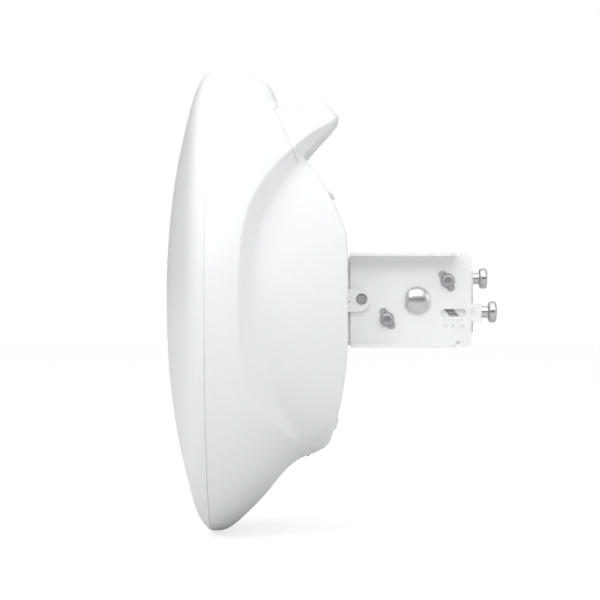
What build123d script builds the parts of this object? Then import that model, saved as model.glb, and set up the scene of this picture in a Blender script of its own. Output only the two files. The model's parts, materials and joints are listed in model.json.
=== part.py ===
from build123d import *
import os
from math import atan2, degrees, hypot, radians, sqrt, tan

# Outdoor wireless bridge: a radome-covered dish on an adjustable two-axis bracket.
# The origin is the centre of the pole plate's rear face, +X points to the pole,
# the dish looks along -X, and +Z is up.

os.makedirs("parts", exist_ok=True)

# ---- driving dimensions (mm) ----
SEAM_X = -231.8          # plane where the radome meets the housing
SEAM_R = 206.0           # dish radius at that plane
REAR_X = -112.5          # flat rear face of the housing
WALL = 3.0               # moulded shell thickness
DOOR_WALL = 2.6
SEAM_GAP = 0.4           # visible gap between moulded pieces
GASKET = 1.5
LINER_GAP = 0.3

BRACKET_Y = 60.0         # outside of the outer bracket's cheeks
SHEET = 2.5              # bracket sheet thickness
BRACKET_H = 41.0         # half height of the cheeks
BRACKET_END = -3.6
PIVOT_X = -50.9          # elevation pivot, on the row's XZ plane at z 0
YOKE_Y = 57.2            # outside of the yoke's cheeks
YOKE_FRONT = -88.0
YOKE_REAR = -8.0
AZIMUTH_X = -25.0        # vertical azimuth pivot
LOCKS = ((-26.6, -16.4), (26.5, 17.3))   # lock bolts, from the elevation pivot
LOCK_R = 31.4            # radius of their arc slots about the pivot
TILT_SWING = 12.6        # half angle of the slots, degrees

ELEVATION_SCREW = (-42.0, -10.3)         # y, z of the elevation adjusting screw
AZIMUTH_SCREW = (40.0, 19.9)             # y, z of the azimuth adjusting screw
SCREW_R = 5.2
MOUNT_PITCH = 36.0       # pole plate's hole spacing, both ways
MOUNT_HOLE_R = 4.25

# Housing sections: x, half width, depth below the axis, height above it
# for the main shell, and height above it for the hood.
SECTIONS = (
    (SEAM_X, SEAM_R, SEAM_R, SEAM_R, SEAM_R),
    (-218.0, 205.0, 204.0, 206.6, 206.6),
    (-204.0, 200.0, 193.5, 203.6, 203.6),
    (-190.0, 192.0, 179.8, 197.7, 190.0),
    (-178.0, 183.0, 166.0, 187.0, 168.0),
    (-172.5, 178.5, 159.0, 174.5, 164.2),
    (-167.0, 174.0, 152.8, 165.5, 163.6),
    (-156.0, 165.0, 143.6, 171.5, 171.5),
    (-143.0, 154.0, 138.7, 179.4, 179.4),
    (-129.0, 142.0, 134.5, 177.2, 177.2),
    (-105.0, 121.0, 126.0, 162.0, 162.0),
)
CORE_SECTIONS = ((-215.0, 180.0), (-179.0, 163.0), (-147.0, 139.0), (-105.0, 103.0))
CORE_HEIGHT = 150.0      # above and below the axis
# Crease where the dish shell turns into the recessed side, in XZ.
CREASE_TOP = (
    (-98.0, 167.0), (-120.4, 157.0), (-144.2, 144.2), (-160.2, 129.7),
    (-182.2, 101.6), (-194.4, 78.7), (-200.7, 53.7),
)
CREASE_FOOT = (
    (-200.7, -53.2), (-195.5, -77.3), (-183.3, -95.9),
    (-163.0, -113.8), (-140.0, -133.0), (-112.0, -156.0),
)
POCKET_DRAFT = 20.0      # slope of the recess wall, degrees
POCKET_OUT = 215.0       # the recess is cut between these distances from the middle
POCKET_IN = 30.0
HOOD_NOTCH = (-151.0, 125.2)             # inner corner under the hood
HOOD_SEAM = ((-171.2, 172.9), (-176.0, 166.7), (-154.8, 116.2), (-136.9, 103.6), (-120.0, 91.7))

# Rear cover and port door windows
COVER_Y = 80.0
COVER_Z = (-61.8, 98.0)
DOOR_Y = 45.0
DOOR_TOP = -62.3
DOOR_FRONT = -141.0
BAY_FRONT = -158.0


def side(y):
    """Plane seen from the side at this y: local axes are X and Z."""
    return Plane.XZ.offset(-y)


def section_loft(sections):
    """Loft upright sections, each two half ellipses: x, half width, depth, height."""
    with BuildPart() as body:
        for x, half_width, depth, height in sections:
            with BuildSketch(Plane.YZ.offset(x)):
                with BuildLine():
                    EllipticalCenterArc((0, 0), half_width, height, start_angle=0, arc_size=180)
                    EllipticalCenterArc((0, 0), half_width, depth, start_angle=180, arc_size=180)
                make_face()
        loft()
    return body.part


def shifted(points, distances):
    """Move each point of an open outline sideways, along the outline's normal."""
    moved = []
    for i, (x, z) in enumerate(points):
        before = points[max(i - 1, 0)]
        after = points[min(i + 1, len(points) - 1)]
        run, rise = after[0] - before[0], after[1] - before[1]
        length = hypot(run, rise)
        moved.append((x - rise / length * distances[i], z + run / length * distances[i]))
    return moved


def skin_y(x, z):
    """Half width of the plain body at this x and z, before the sides are recessed."""
    for front, rear in zip(SECTIONS, SECTIONS[1:]):
        if x <= rear[0]:
            break
    along = (x - front[0]) / (rear[0] - front[0])
    half_width, depth, _, height = [f + (r - f) * along for f, r in zip(front[1:], rear[1:])]
    rise = z / (height if z > 0 else depth)
    return half_width * sqrt(max(1 - rise * rise, 0.16))


def side_pockets(inset):
    """The recess on both sides, whose wall slopes inwards from the crease."""
    slope = tan(radians(POCKET_DRAFT))
    with BuildPart() as pockets:
        for y in (POCKET_OUT, POCKET_IN):
            outlines = []
            for crease in (CREASE_TOP, CREASE_FOOT):
                shifts = [(skin_y(*point) - y) * slope - inset for point in crease]
                outlines.append(shifted(crease, shifts))
            top, foot = outlines
            with BuildSketch(side(-y)):
                with BuildLine():
                    Spline(*top)
                    Line(top[-1], foot[0])
                    Spline(*foot)
                    Polyline(foot[-1], (-60, foot[-1][1]), (-60, top[0][1]), top[0])
                make_face()
        loft(ruled=True)
        mirror(about=Plane.XZ)
    return pockets.part


def side_profile(inset):
    """Side view of the rear, hood and chin, as a block across the whole width."""
    with BuildPart() as block:
        with BuildSketch(Plane.XZ):
            with BuildLine():
                Polyline((-240, 230), (-140, 230), (-128.9, 177.5), (-118.6, 162.7),
                         (-118.4, 160), HOOD_NOTCH)
                ThreePointArc(HOOD_NOTCH, (-125.6, 86), (REAR_X - 0.9, 56))
                Polyline((REAR_X - 0.9, 56), (REAR_X, 40), (REAR_X, -42))
                ThreePointArc((REAR_X, -42), (-116.2, -77), (-125.2, -118.8))
                ThreePointArc((-125.2, -118.8), (-128, -128), (-134.9, -135.5))
                Polyline((-134.9, -135.5), (-150, -145), (-150, -230), (-240, -230), (-240, 230))
            make_face()
            if inset:
                offset(amount=-inset, kind=Kind.INTERSECTION)
        extrude(amount=260, both=True)
    return block.part


def housing_form(inset, with_hood):
    """Whole moulded body, shrunk by inset: shell, recessed sides and core."""
    sections = []
    for x, half_width, depth, shell_height, hood_height in SECTIONS:
        height = hood_height if with_hood else shell_height
        sections.append((x, half_width - inset, depth - inset, height - inset))
    core_height = CORE_HEIGHT - inset
    core_sections = [(x, w - inset, core_height, core_height) for x, w in CORE_SECTIONS]
    with BuildPart() as trimmed:
        add(section_loft(sections))
        add(side_profile(inset), mode=Mode.INTERSECT)
    with BuildPart() as core:
        add(section_loft(core_sections))
        add(trimmed.part, mode=Mode.INTERSECT)
    with BuildPart() as form:
        add(trimmed.part)
        add(side_pockets(inset), mode=Mode.SUBTRACT)
        add(core.part)
    return form.part


def block(x, y, z):
    """A box given by its three pairs of limits."""
    with BuildPart() as box:
        with Locations(((x[0] + x[1]) / 2, (y[0] + y[1]) / 2, (z[0] + z[1]) / 2)):
            Box(x[1] - x[0], y[1] - y[0], z[1] - z[0])
    return box.part


def hood_zone(grow):
    """Everything behind the hood's seam, moved forward of it by grow."""
    seam = shifted(HOOD_SEAM, [-grow] * len(HOOD_SEAM))
    with BuildPart() as zone:
        with BuildSketch(Plane.XZ):
            with BuildLine():
                Polyline((seam[0][0] + 3, 230), *seam, (-90, seam[-1][1]), (-90, 230), close=True)
            make_face()
        extrude(amount=260, both=True)
    return zone.part


def across(y, r, length, x, z):
    """A round bar along Y, starting at y and running outwards by length."""
    with BuildPart() as bar:
        with BuildSketch(side(y)):
            with Locations((x, z)):
                Circle(r)
        extrude(amount=-length)
    return bar.part


# ---- moulded shells ----
outer = housing_form(0, False)
inner = housing_form(WALL, False)
outer_with_hood = housing_form(0, True)
inner_with_hood = housing_form(WALL, True)
door_inner = housing_form(DOOR_WALL, False)
liner_space = housing_form(WALL + LINER_GAP, False)

GROMMET_X = (-157.0, -145.0)
GROMMET_Y = 22.0
GROMMET_Z = (-138.5, -130.5)
CABLE_X = -151.0
CABLE_Y = 12.0
CABLE_R = 3.2
COVER_SCREWS = [(y, z) for y in (-75.5, 75.5) for z in (-36, 0, 36)]
VENT_AT = (-127.2, -86.0, 90.0)
VENT_DIR = (0.885, 0, 0.465)

with BuildPart() as cover_slab:
    add(side_profile(0))
    add(side_profile(WALL + GASKET), mode=Mode.SUBTRACT)

with BuildPart() as ledge:
    add(side_profile(WALL))
    add(side_profile(WALL + GASKET + WALL), mode=Mode.SUBTRACT)
    add(block((-160, -100), (-84, 84), (-62, 102)), mode=Mode.INTERSECT)
    add(block((-160, -100), (-66, 66), (-58, 92)), mode=Mode.SUBTRACT)

with BuildPart() as hollow:
    add(inner)
    add(hood_zone(WALL), mode=Mode.SUBTRACT)

with BuildPart() as cover_window:
    add(cover_slab.part)
    add(block((-160, -90), (-COVER_Y - SEAM_GAP, COVER_Y + SEAM_GAP),
              (COVER_Z[0] - SEAM_GAP, COVER_Z[1] + SEAM_GAP)), mode=Mode.INTERSECT)

with BuildPart() as main_housing:
    add(outer)
    add(hood_zone(0), mode=Mode.SUBTRACT)
    add(hollow.part, mode=Mode.SUBTRACT)
    add(ledge.part)
    add(cover_window.part, mode=Mode.SUBTRACT)
    add(block((DOOR_FRONT - SEAM_GAP, -90), (-DOOR_Y - SEAM_GAP, DOOR_Y + SEAM_GAP),
              (-160, DOOR_TOP - 0.5)), mode=Mode.SUBTRACT)
    add(block(GROMMET_X, (-GROMMET_Y, GROMMET_Y), (-160, -120)), mode=Mode.SUBTRACT)
    with Locations(Plane(VENT_AT, z_dir=VENT_DIR)):
        Cylinder(2.5, 20, mode=Mode.SUBTRACT)
    with Locations(*[Plane((REAR_X - 9, y, z), z_dir=(1, 0, 0)) for y, z in COVER_SCREWS]):
        Cylinder(1.3, 12, mode=Mode.SUBTRACT)
main_housing.part.label = "main_housing"
export_step(main_housing.part, "parts/main_housing.step")

# Roof, front and side walls of the port bay
with BuildPart() as bay_liner:
    add(block((BAY_FRONT - WALL, -90), (-DOOR_Y - 3.5, DOOR_Y + 3.5), (-160, DOOR_TOP - 0.7)))
    add(block((BAY_FRONT, -90), (-DOOR_Y - 0.5, DOOR_Y + 0.5), (-160, DOOR_TOP - 3.7)),
        mode=Mode.SUBTRACT)
    add(liner_space, mode=Mode.INTERSECT)
bay_liner.part.label = "bay_liner"
export_step(bay_liner.part, "parts/bay_liner.step")

with BuildPart() as hood:
    add(outer_with_hood)
    add(hood_zone(-SEAM_GAP), mode=Mode.INTERSECT)
    add(inner_with_hood, mode=Mode.SUBTRACT)
hood.part.label = "hood"
export_step(hood.part, "parts/hood.step")

with BuildPart() as rear_cover:
    add(side_profile(0))
    add(side_profile(WALL), mode=Mode.SUBTRACT)
    add(block((-160, -90), (-COVER_Y, COVER_Y), COVER_Z), mode=Mode.INTERSECT)
    with Locations(*[Plane((REAR_X, y, z), z_dir=(1, 0, 0)) for y, z in COVER_SCREWS]):
        Cylinder(1.7, 12, mode=Mode.SUBTRACT)
    with Locations(*[Plane((REAR_X, y, z), z_dir=(1, 0, 0)) for y in (-35, 35) for z in (-28, 28)]):
        Cylinder(3.2, 12, mode=Mode.SUBTRACT)
rear_cover.part.label = "rear_cover"
export_step(rear_cover.part, "parts/rear_cover.step")

with BuildPart() as rear_cover_gasket:
    add(side_profile(WALL))
    add(side_profile(WALL + GASKET), mode=Mode.SUBTRACT)
    add(block((-160, -90), (-71, 71), (-58, 95)), mode=Mode.INTERSECT)
    add(block((-160, -90), (-67, 67), (-54, 91)), mode=Mode.SUBTRACT)
rear_cover_gasket.part.label = "rear_cover_gasket"
export_step(rear_cover_gasket.part, "parts/rear_cover_gasket.step")

with BuildPart() as rear_cover_screws:
    with Locations(*[Plane((REAR_X, y, z), z_dir=(1, 0, 0)) for y, z in COVER_SCREWS]):
        Cylinder(1.25, 12, align=(Align.CENTER, Align.CENTER, Align.MAX))
        Cylinder(2.8, 1.8, align=(Align.CENTER, Align.CENTER, Align.MIN))
        with Locations((0, 0, 1.8)):
            Cylinder(1.0, 1.0, align=(Align.CENTER, Align.CENTER, Align.MAX), mode=Mode.SUBTRACT)
rear_cover_screws.part.label = "rear_cover_screws"
export_step(rear_cover_screws.part, "parts/rear_cover_screws.step")

with BuildPart() as port_door:
    add(outer)
    add(block((DOOR_FRONT, -90), (-DOOR_Y, DOOR_Y), (-160, DOOR_TOP - 0.9)), mode=Mode.INTERSECT)
    add(door_inner, mode=Mode.SUBTRACT)
port_door.part.label = "port_door"
export_step(port_door.part, "parts/port_door.step")

# Finger grip of the door, a short rib across its lower edge
LATCH_Z = (-114.3, -105.2)
with BuildPart() as door_latch:
    add(side_profile(-2.2))
    add(side_profile(0), mode=Mode.SUBTRACT)
    add(block((-160, -90), (-38, 38), LATCH_Z), mode=Mode.INTERSECT)
door_latch.part.label = "door_latch"
export_step(door_latch.part, "parts/door_latch.step")

with BuildPart() as cable_grommet:
    add(block((GROMMET_X[0] + 0.1, GROMMET_X[1] - 0.1), (-GROMMET_Y + 0.1, GROMMET_Y - 0.1), GROMMET_Z))
    with Locations((CABLE_X, -CABLE_Y, GROMMET_Z[0]), (CABLE_X, CABLE_Y, GROMMET_Z[0])):
        Cylinder(CABLE_R, 30, mode=Mode.SUBTRACT)
cable_grommet.part.label = "cable_grommet"
export_step(cable_grommet.part, "parts/cable_grommet.step")

with BuildPart() as breather_vent:
    with Locations(Plane(VENT_AT, z_dir=VENT_DIR)):
        Cylinder(2.4, 10, align=(Align.CENTER, Align.CENTER, Align.MAX))
        Cylinder(4.0, 2.6, align=(Align.CENTER, Align.CENTER, Align.MIN))
breather_vent.part.label = "breather_vent"
export_step(breather_vent.part, "parts/breather_vent.step")

# ---- radome ----
RADOME = ((-272.2, 0), (-269.2, 70), (-260.8, 129), (-250.2, 173.5), (-241.2, 196.8), (SEAM_X, SEAM_R))
RADOME_WALL = 2.6
with BuildPart() as radome:
    with BuildSketch(Plane.XZ):
        with BuildLine():
            Spline(*RADOME, tangents=[(0, 1), (0.55, 1)])
            Line(RADOME[-1], (SEAM_X, 0))
            Line((SEAM_X, 0), RADOME[0])
        make_face()
        with BuildLine():
            lining = [(x + RADOME_WALL, r * (SEAM_R - RADOME_WALL) / SEAM_R) for x, r in RADOME]
            lining[-1] = (SEAM_X, SEAM_R - RADOME_WALL)
            Spline(*lining, tangents=[(0, 1), (0.55, 1)])
            Line(lining[-1], (SEAM_X, 0))
            Line((SEAM_X, 0), lining[0])
        make_face(mode=Mode.SUBTRACT)
    revolve(axis=Axis.X)
radome.part.label = "radome"
export_step(radome.part, "parts/radome.step")

with BuildPart() as radome_gasket:
    with BuildSketch(Plane.YZ.offset(SEAM_X - 1.6)):
        Circle(SEAM_R - RADOME_WALL - 2.6)
        Circle(SEAM_R - RADOME_WALL - 5.6, mode=Mode.SUBTRACT)
    extrude(amount=4)
radome_gasket.part.label = "radome_gasket"
export_step(radome_gasket.part, "parts/radome_gasket.step")

# ---- reflector and feed ----
DISH_VERTEX = -156.0
FOCAL = 120.0
DISH_EDGE = 188.0
DISH_SHEET = 1.2


def dish_x(r):
    return DISH_VERTEX - r * r / (4 * FOCAL)


REFLECTOR_POSTS = [(y, z) for y in (-42, 42) for z in (-42, 42)]
POST_R = hypot(42, 42)
with BuildPart() as reflector:
    with BuildSketch(Plane.XZ):
        with BuildLine():
            rim = dish_x(DISH_EDGE)
            bowl = [(dish_x(r), r) for r in (6.5, 65, 125, DISH_EDGE)]
            Spline(*bowl)
            Line(bowl[-1], (rim + DISH_SHEET, DISH_EDGE))
            Spline(*[(x + DISH_SHEET, r) for x, r in reversed(bowl)])
            Line((bowl[0][0] + DISH_SHEET, bowl[0][1]), bowl[0])
        make_face()
    revolve(axis=Axis.X)
    with Locations(*[Plane((dish_x(POST_R), y, z), z_dir=(1, 0, 0)) for y, z in REFLECTOR_POSTS]):
        Cylinder(2.2, 20, mode=Mode.SUBTRACT)
reflector.part.label = "reflector"
export_step(reflector.part, "parts/reflector.step")

TUBE_END = -250.0
with BuildPart() as feed_tube:
    with BuildSketch(Plane.YZ.offset(TUBE_END)):
        Circle(6.0)
        Circle(5.0, mode=Mode.SUBTRACT)
    extrude(amount=DISH_VERTEX + 1.5 - TUBE_END)
feed_tube.part.label = "feed_tube"
export_step(feed_tube.part, "parts/feed_tube.step")

with BuildPart() as feed_lens:
    with BuildSketch(Plane.XZ):
        with BuildLine():
            Polyline((TUBE_END + 8, 0), (TUBE_END, 4.95), (TUBE_END, 6.0), (TUBE_END - 10, 20),
                     (TUBE_END - 10, 0), close=True)
        make_face()
    revolve(axis=Axis.X)
feed_lens.part.label = "feed_lens"
export_step(feed_lens.part, "parts/feed_lens.step")

with BuildPart() as sub_reflector:
    with BuildSketch(Plane.YZ.offset(TUBE_END - 12.5)):
        Circle(22)
    extrude(amount=2.5)
    chamfer(sub_reflector.edges().sort_by(Axis.X)[0], length=1)
sub_reflector.part.label = "sub_reflector"
export_step(sub_reflector.part, "parts/sub_reflector.step")

# ---- electronics ----
CHASSIS_X = (-142.0, -138.0)
COVER_INSIDE = REAR_X - WALL
MOUNT_POSTS = [(y, z) for y in (-35, 35) for z in (-28, 28)]
with BuildPart() as chassis:
    add(block(CHASSIS_X, (-80, 80), (-50, 66)))
    with BuildSketch(Plane.YZ.offset(CHASSIS_X[1])):
        with Locations(*MOUNT_POSTS):
            Circle(7)
    extrude(amount=COVER_INSIDE - CHASSIS_X[1])
    with BuildSketch(Plane.YZ.offset(CHASSIS_X[0])):
        with Locations(*REFLECTOR_POSTS):
            Circle(5)
    extrude(amount=dish_x(POST_R - 5) + DISH_SHEET + 0.1 - CHASSIS_X[0])
    with Locations(*[Plane((COVER_INSIDE, y, z), z_dir=(1, 0, 0)) for y, z in MOUNT_POSTS]):
        Cylinder(3.0, 36, mode=Mode.SUBTRACT)
    with Locations(*[Plane((CHASSIS_X[0] - 20, y, z), z_dir=(1, 0, 0)) for y, z in REFLECTOR_POSTS]):
        Cylinder(1.9, 24, mode=Mode.SUBTRACT)
chassis.part.label = "chassis"
export_step(chassis.part, "parts/chassis.step")

with BuildPart() as reflector_screws:
    for y, z in REFLECTOR_POSTS:
        with Locations(Plane((dish_x(POST_R) - 1.5, y, z), z_dir=(-1, 0, 0))):
            Cylinder(1.85, 14, align=(Align.CENTER, Align.CENTER, Align.MAX))
            Cylinder(4.0, 2.4, align=(Align.CENTER, Align.CENTER, Align.MIN))
reflector_screws.part.label = "reflector_screws"
export_step(reflector_screws.part, "parts/reflector_screws.step")

with BuildPart() as radio_module:
    add(block((DISH_VERTEX + 1.6, CHASSIS_X[0]), (-30, 30), (-30, 30)))
    fillet(radio_module.edges().filter_by(Axis.X), radius=4)
radio_module.part.label = "radio_module"
export_step(radio_module.part, "parts/radio_module.step")

BOARD_X = (-135.5, -133.9)
with BuildPart() as main_board:
    add(block(BOARD_X, (-70, 70), (-48, 62)))
    with Locations(*[Plane((BOARD_X[0], y, z), z_dir=(1, 0, 0)) for y, z in MOUNT_POSTS]):
        Cylinder(7.5, 10, mode=Mode.SUBTRACT)
main_board.part.label = "main_board"
export_step(main_board.part, "parts/main_board.step")

with BuildPart() as thermal_pad:
    add(block((CHASSIS_X[1], BOARD_X[0]), (-18, 18), (-14, 14)))
thermal_pad.part.label = "thermal_pad"
export_step(thermal_pad.part, "parts/thermal_pad.step")

SHIELDS = (((-20, 20), (-18, 18)), ((-66, -45), (30, 54)), ((45, 66), (34, 56)))
with BuildPart() as shield_cans:
    for y, z in SHIELDS:
        add(block((BOARD_X[1], BOARD_X[1] + 4), y, z))
    fillet(shield_cans.edges().filter_by(Axis.X), radius=1.5)
shield_cans.part.label = "shield_cans"
export_step(shield_cans.part, "parts/shield_cans.step")

with BuildPart() as gnss_antenna:
    add(block((-158, -131), (-15, 15), (156.0, 157.2)))
    add(block((-157, -132), (-12.5, 12.5), (157.2, 161.2)))
gnss_antenna.part.label = "gnss_antenna"
export_step(gnss_antenna.part, "parts/gnss_antenna.step")

with BuildPart() as antenna_bracket:
    add(block((-150, -142), (-15, 15), (130.8, 156.0)))
    add(block((-160, -138), (-12, 12), (130, 153.5)), mode=Mode.SUBTRACT)
    add(inner_with_hood, mode=Mode.INTERSECT)
antenna_bracket.part.label = "antenna_bracket"
export_step(antenna_bracket.part, "parts/antenna_bracket.step")

PORT_BOARD_Z = (-70.4, -68.8)
with BuildPart() as port_board:
    add(block((-157.5, -122), (-40, 40), PORT_BOARD_Z))
port_board.part.label = "port_board"
export_step(port_board.part, "parts/port_board.step")

JACK = ((-156.5, -143), (4, 20), (-88.4, PORT_BOARD_Z[0]))
with BuildPart() as ethernet_jack:
    add(block(*JACK))
    add(block((-154.5, -146), (6, 18), (-90, -75.5)), mode=Mode.SUBTRACT)
ethernet_jack.part.label = "ethernet_jack"
export_step(ethernet_jack.part, "parts/ethernet_jack.step")

with BuildPart() as sfp_cage:
    add(block((-156.8, -146.2), (-19.5, -4.9), (-116, PORT_BOARD_Z[0])))
    add(block((-156.2, -146.8), (-18.9, -5.5), (-118, -72)), mode=Mode.SUBTRACT)
sfp_cage.part.label = "sfp_cage"
export_step(sfp_cage.part, "parts/sfp_cage.step")

BUTTON_AT = (-130.0, 14.0)
BUTTON_TRAVEL = 0.6
with BuildPart() as reset_switch:
    add(block((BUTTON_AT[0] - 3, BUTTON_AT[0] + 3), (BUTTON_AT[1] - 3, BUTTON_AT[1] + 3),
              (PORT_BOARD_Z[0] - 4, PORT_BOARD_Z[0])))
    with Locations((*BUTTON_AT, PORT_BOARD_Z[0] - 4)):
        Cylinder(1.8, 5, mode=Mode.SUBTRACT)
reset_switch.part.label = "reset_switch"
export_step(reset_switch.part, "parts/reset_switch.step")

with BuildPart() as reset_button:
    with Locations((*BUTTON_AT, PORT_BOARD_Z[0] - 5)):
        Cylinder(1.6, 3)
reset_button.part.label = "reset_button"
export_step(reset_button.part, "parts/reset_button.step")

# ---- bracket fixed to the dish ----
PLATE_X = (REAR_X, REAR_X + 3.0)
WEB_X = (PLATE_X[1], PLATE_X[1] + SHEET)
LUG_AT = (-102.0, 0.0)
LUG_HOLE = (-99.5, 1.2)
STUD_AT = (-100.1, 0.7)
STUD_R = 3.85
with BuildPart() as dish_plate:
    with BuildSketch(Plane.YZ.offset(PLATE_X[0])):
        Rectangle(114, 76)
        Rectangle(126.6, 20)
        with Locations(*MOUNT_POSTS):
            Circle(3.2, mode=Mode.SUBTRACT)
    extrude(amount=3.0)
    with BuildSketch(side(-BRACKET_Y - 0.3)):
        with Locations(((PLATE_X[0] + LUG_AT[0]) / 2, 0)):
            Rectangle(LUG_AT[0] - PLATE_X[0], 20)
        with Locations(LUG_AT):
            Circle(10)
        with Locations(LUG_HOLE):
            Circle(4.8, mode=Mode.SUBTRACT)
    extrude(amount=3.0)
    mirror(about=Plane.XZ)
dish_plate.part.label = "dish_plate"
export_step(dish_plate.part, "parts/dish_plate.step")

with BuildPart() as dish_plate_screws:
    with Locations(*[Plane((WEB_X[1], y, z), z_dir=(1, 0, 0)) for y, z in MOUNT_POSTS]):
        Cylinder(2.95, 22, align=(Align.CENTER, Align.CENTER, Align.MAX))
        Cylinder(5.3, 4, align=(Align.CENTER, Align.CENTER, Align.MIN))
        with Locations((0, 0, 4)):
            Cylinder(2.3, 2, align=(Align.CENTER, Align.CENTER, Align.MAX), mode=Mode.SUBTRACT)
dish_plate_screws.part.label = "dish_plate_screws"
export_step(dish_plate_screws.part, "parts/dish_plate_screws.step")

FLANGE_END = -17.0
FLANGE_Y = 76.0
WINDOW_AT = (-19.2, -10.9)
WINDOW_SIZE = (21.8, 6.6)
TAB_Z = (-18.8, -2.8)
TAB_X = 5.3
lock_arcs = [
    CenterArc((PIVOT_X, 0), LOCK_R, degrees(atan2(z, x)) - TILT_SWING, 2 * TILT_SWING)
    for x, z in LOCKS
]
with BuildPart() as outer_bracket:
    add(block(WEB_X, (-BRACKET_Y, BRACKET_Y), (-38, 38)))
    with BuildSketch(side(-BRACKET_Y + SHEET)):
        with BuildLine():
            Polyline((WEB_X[0], -BRACKET_H), (FLANGE_END, -BRACKET_H), (FLANGE_END, -35.5),
                     (-13.5, -35.5), (-13.5, -BRACKET_H), (-9.6, -BRACKET_H))
            RadiusArc((-9.6, -BRACKET_H), (BRACKET_END, -35), -6)
            Line((BRACKET_END, -35), (BRACKET_END, 35))
            RadiusArc((BRACKET_END, 35), (-9.6, BRACKET_H), -6)
            Polyline((-9.6, BRACKET_H), (-13.5, BRACKET_H), (-13.5, 37), (FLANGE_END, 37),
                     (FLANGE_END, BRACKET_H), (WEB_X[0], BRACKET_H), (WEB_X[0], -BRACKET_H))
        make_face()
        with Locations((PIVOT_X, 0)):
            Circle(6.05, mode=Mode.SUBTRACT)
        with Locations(STUD_AT):
            Circle(STUD_R, mode=Mode.SUBTRACT)
        for arc in lock_arcs:
            SlotArc(arc, 6.6, mode=Mode.SUBTRACT)
    extrude(amount=SHEET)
    mirror(about=Plane.XZ)
    for z in (-BRACKET_H, BRACKET_H - SHEET):
        with BuildSketch(Plane.XY.offset(z)):
            with BuildLine():
                Polyline((WEB_X[0], -BRACKET_Y), (WEB_X[0], -FLANGE_Y), (FLANGE_END - 6, -FLANGE_Y),
                         (FLANGE_END, -FLANGE_Y + 6), (FLANGE_END, -BRACKET_Y), close=True)
            make_face()
            mirror(about=Plane.XZ)
        extrude(amount=SHEET)
    with BuildSketch(side(-BRACKET_Y + SHEET)):
        with Locations(WINDOW_AT):
            SlotOverall(*WINDOW_SIZE)
    extrude(amount=SHEET + 1, mode=Mode.SUBTRACT)
    add(block((BRACKET_END, TAB_X), (-BRACKET_Y, -BRACKET_Y + SHEET), TAB_Z))
    add(block((TAB_X - SHEET, TAB_X), (-BRACKET_Y, -33), TAB_Z))
    with Locations(Plane((TAB_X, *ELEVATION_SCREW), z_dir=(1, 0, 0))):
        Cylinder(5.8, 12, mode=Mode.SUBTRACT)
    with Locations(*[Plane((WEB_X[1], y, z), z_dir=(1, 0, 0)) for y, z in MOUNT_POSTS]):
        Cylinder(3.2, 10, mode=Mode.SUBTRACT)
    with Locations(Plane((-97, BRACKET_Y, -25), z_dir=(0, 1, 0))):
        Cylinder(2.5, 10, mode=Mode.SUBTRACT)
outer_bracket.part.label = "outer_bracket"
export_step(outer_bracket.part, "parts/outer_bracket.step")

with BuildPart() as bracket_studs:
    add(across(-BRACKET_Y + 4.5, STUD_R, -9, *STUD_AT))
    add(across(-BRACKET_Y + 4.5, 6.0, -2, *STUD_AT))
    mirror(about=Plane.XZ)
bracket_studs.part.label = "bracket_studs"
export_step(bracket_studs.part, "parts/bracket_studs.step")

with BuildPart() as ground_screw:
    add(across(BRACKET_Y - 8, 2.45, 8, -97, -25))
    add(across(BRACKET_Y, 5.0, 1, -97, -25))
    with BuildSketch(side(BRACKET_Y + 1)):
        with Locations((-97, -25)):
            RegularPolygon(4.6, 6)
    extrude(amount=-3.5)
ground_screw.part.label = "ground_screw"
export_step(ground_screw.part, "parts/ground_screw.step")

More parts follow.
